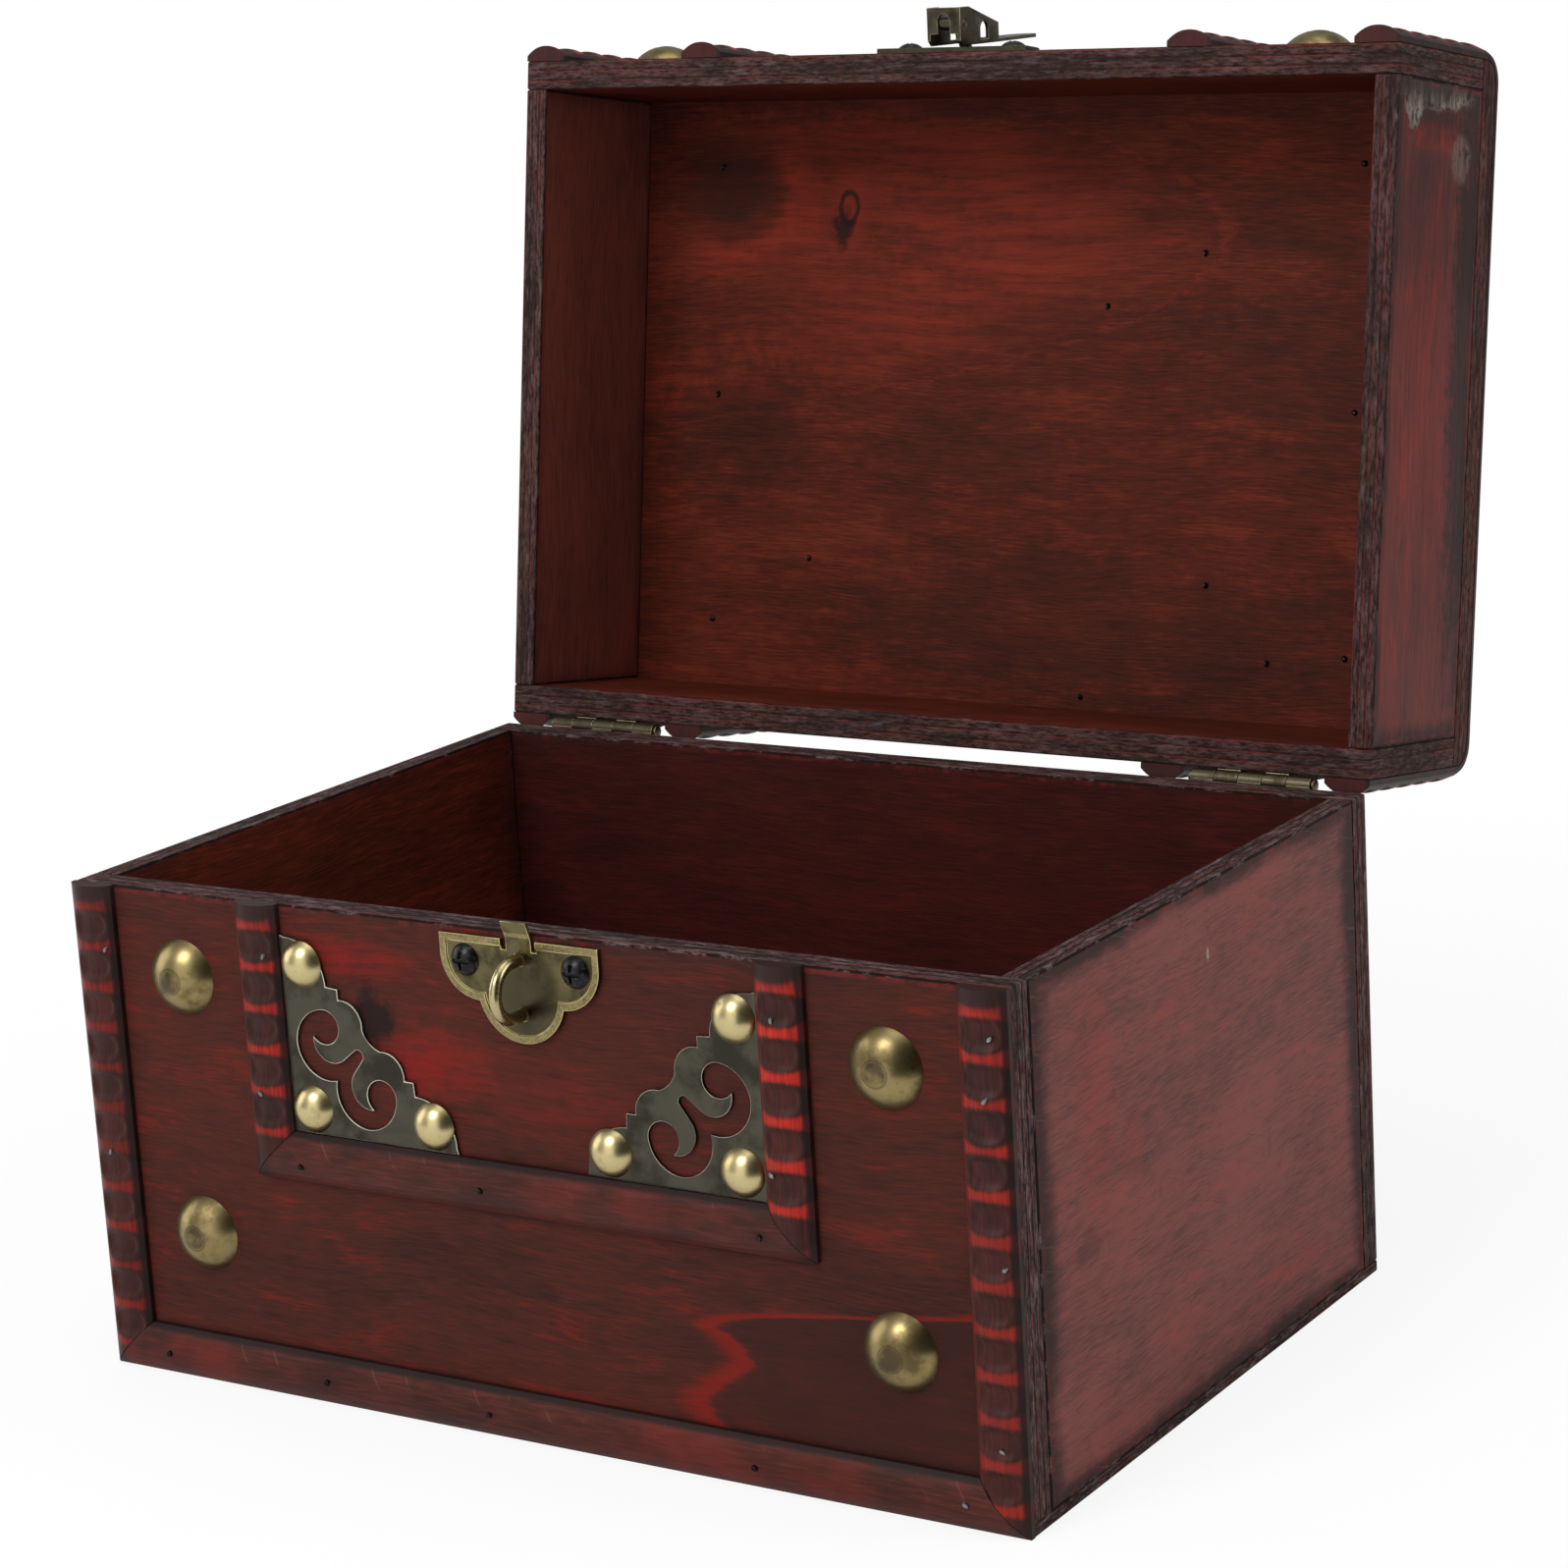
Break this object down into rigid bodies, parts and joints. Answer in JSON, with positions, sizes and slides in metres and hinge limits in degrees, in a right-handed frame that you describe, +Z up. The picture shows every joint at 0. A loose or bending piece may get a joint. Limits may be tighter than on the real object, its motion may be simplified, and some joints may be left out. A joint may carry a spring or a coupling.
{
  "type": "hinged wooden storage box",
  "caption": "Rectangular plywood box with a hinged deep lid, notched wooden mouldings, pierced brass corner plates and a flip-down hasp over a wire staple.",
  "frame": {"origin": "centre of the base's underside", "axes": "+Z up, front with the latch towards -Y, +X to the right seen from the front"},
  "size_m": [0.22, 0.2424, 0.2667],
  "materials": {
    "panel_plywood": "stained plywood, satin varnish",
    "moulding_wood": "stained hardwood, pressed and burnished",
    "filigree_bronze": "darkened antique brass",
    "tack_brass": "antique brass, polished domes",
    "latch_brass": "bright brass plate",
    "hinge_brass": "plain brass",
    "black_screw": "black oxide"
  },
  "bodies": {
    "base": {"base_back_panel": "panel_plywood", "base_bottom_panel": "panel_plywood", "base_bottom_strip": "moulding_wood", "base_front_panel": "panel_plywood", "base_hinge_screws": "hinge_brass", "base_left_panel": "panel_plywood", "base_left_strip": "moulding_wood", "base_right_panel": "panel_plywood", "base_right_strip": "moulding_wood", "base_tacks": "tack_brass", "corner_nails": "tack_brass", "frame_bottom_strip": "moulding_wood", "frame_left_strip": "moulding_wood", "frame_right_strip": "moulding_wood", "keeper_plate": "latch_brass", "keeper_screws": "black_screw", "left_corner_plate": "filigree_bronze", "left_hinge_base_leaf": "hinge_brass", "left_hinge_pin": "hinge_brass", "padlock_staple": "latch_brass", "right_corner_plate": "filigree_bronze", "right_hinge_base_leaf": "hinge_brass", "right_hinge_pin": "hinge_brass"},
    "lid": {"hasp_plate": "latch_brass", "hasp_plate_screws": "black_screw", "left_hinge_lid_leaf": "hinge_brass", "lid_back_panel": "panel_plywood", "lid_front_panel": "panel_plywood", "lid_front_tacks": "tack_brass", "lid_hinge_screws": "hinge_brass", "lid_inner_left_strap": "moulding_wood", "lid_inner_right_strap": "moulding_wood", "lid_left_panel": "panel_plywood", "lid_left_strap": "moulding_wood", "lid_right_panel": "panel_plywood", "lid_right_strap": "moulding_wood", "lid_top_panel": "panel_plywood", "lid_top_tacks": "tack_brass", "right_hinge_lid_leaf": "hinge_brass"},
    "hasp": {"hasp": "latch_brass", "hasp_pin": "latch_brass"}
  },
  "joints": [
    {"name": "lid_hinge", "type": "hinge", "parent": "base", "child": "lid", "pos_m": [0, 0.078, 0.10515], "axis": [1, 0, 0], "range_deg": [0, 99.2]},
    {"name": "hasp_pivot", "type": "hinge", "parent": "lid", "child": "hasp", "pos_m": [0.0028, 0.10396, 0.26323], "axis": [1, 0, 0], "range_deg": [0, 184.5]}
  ]
}
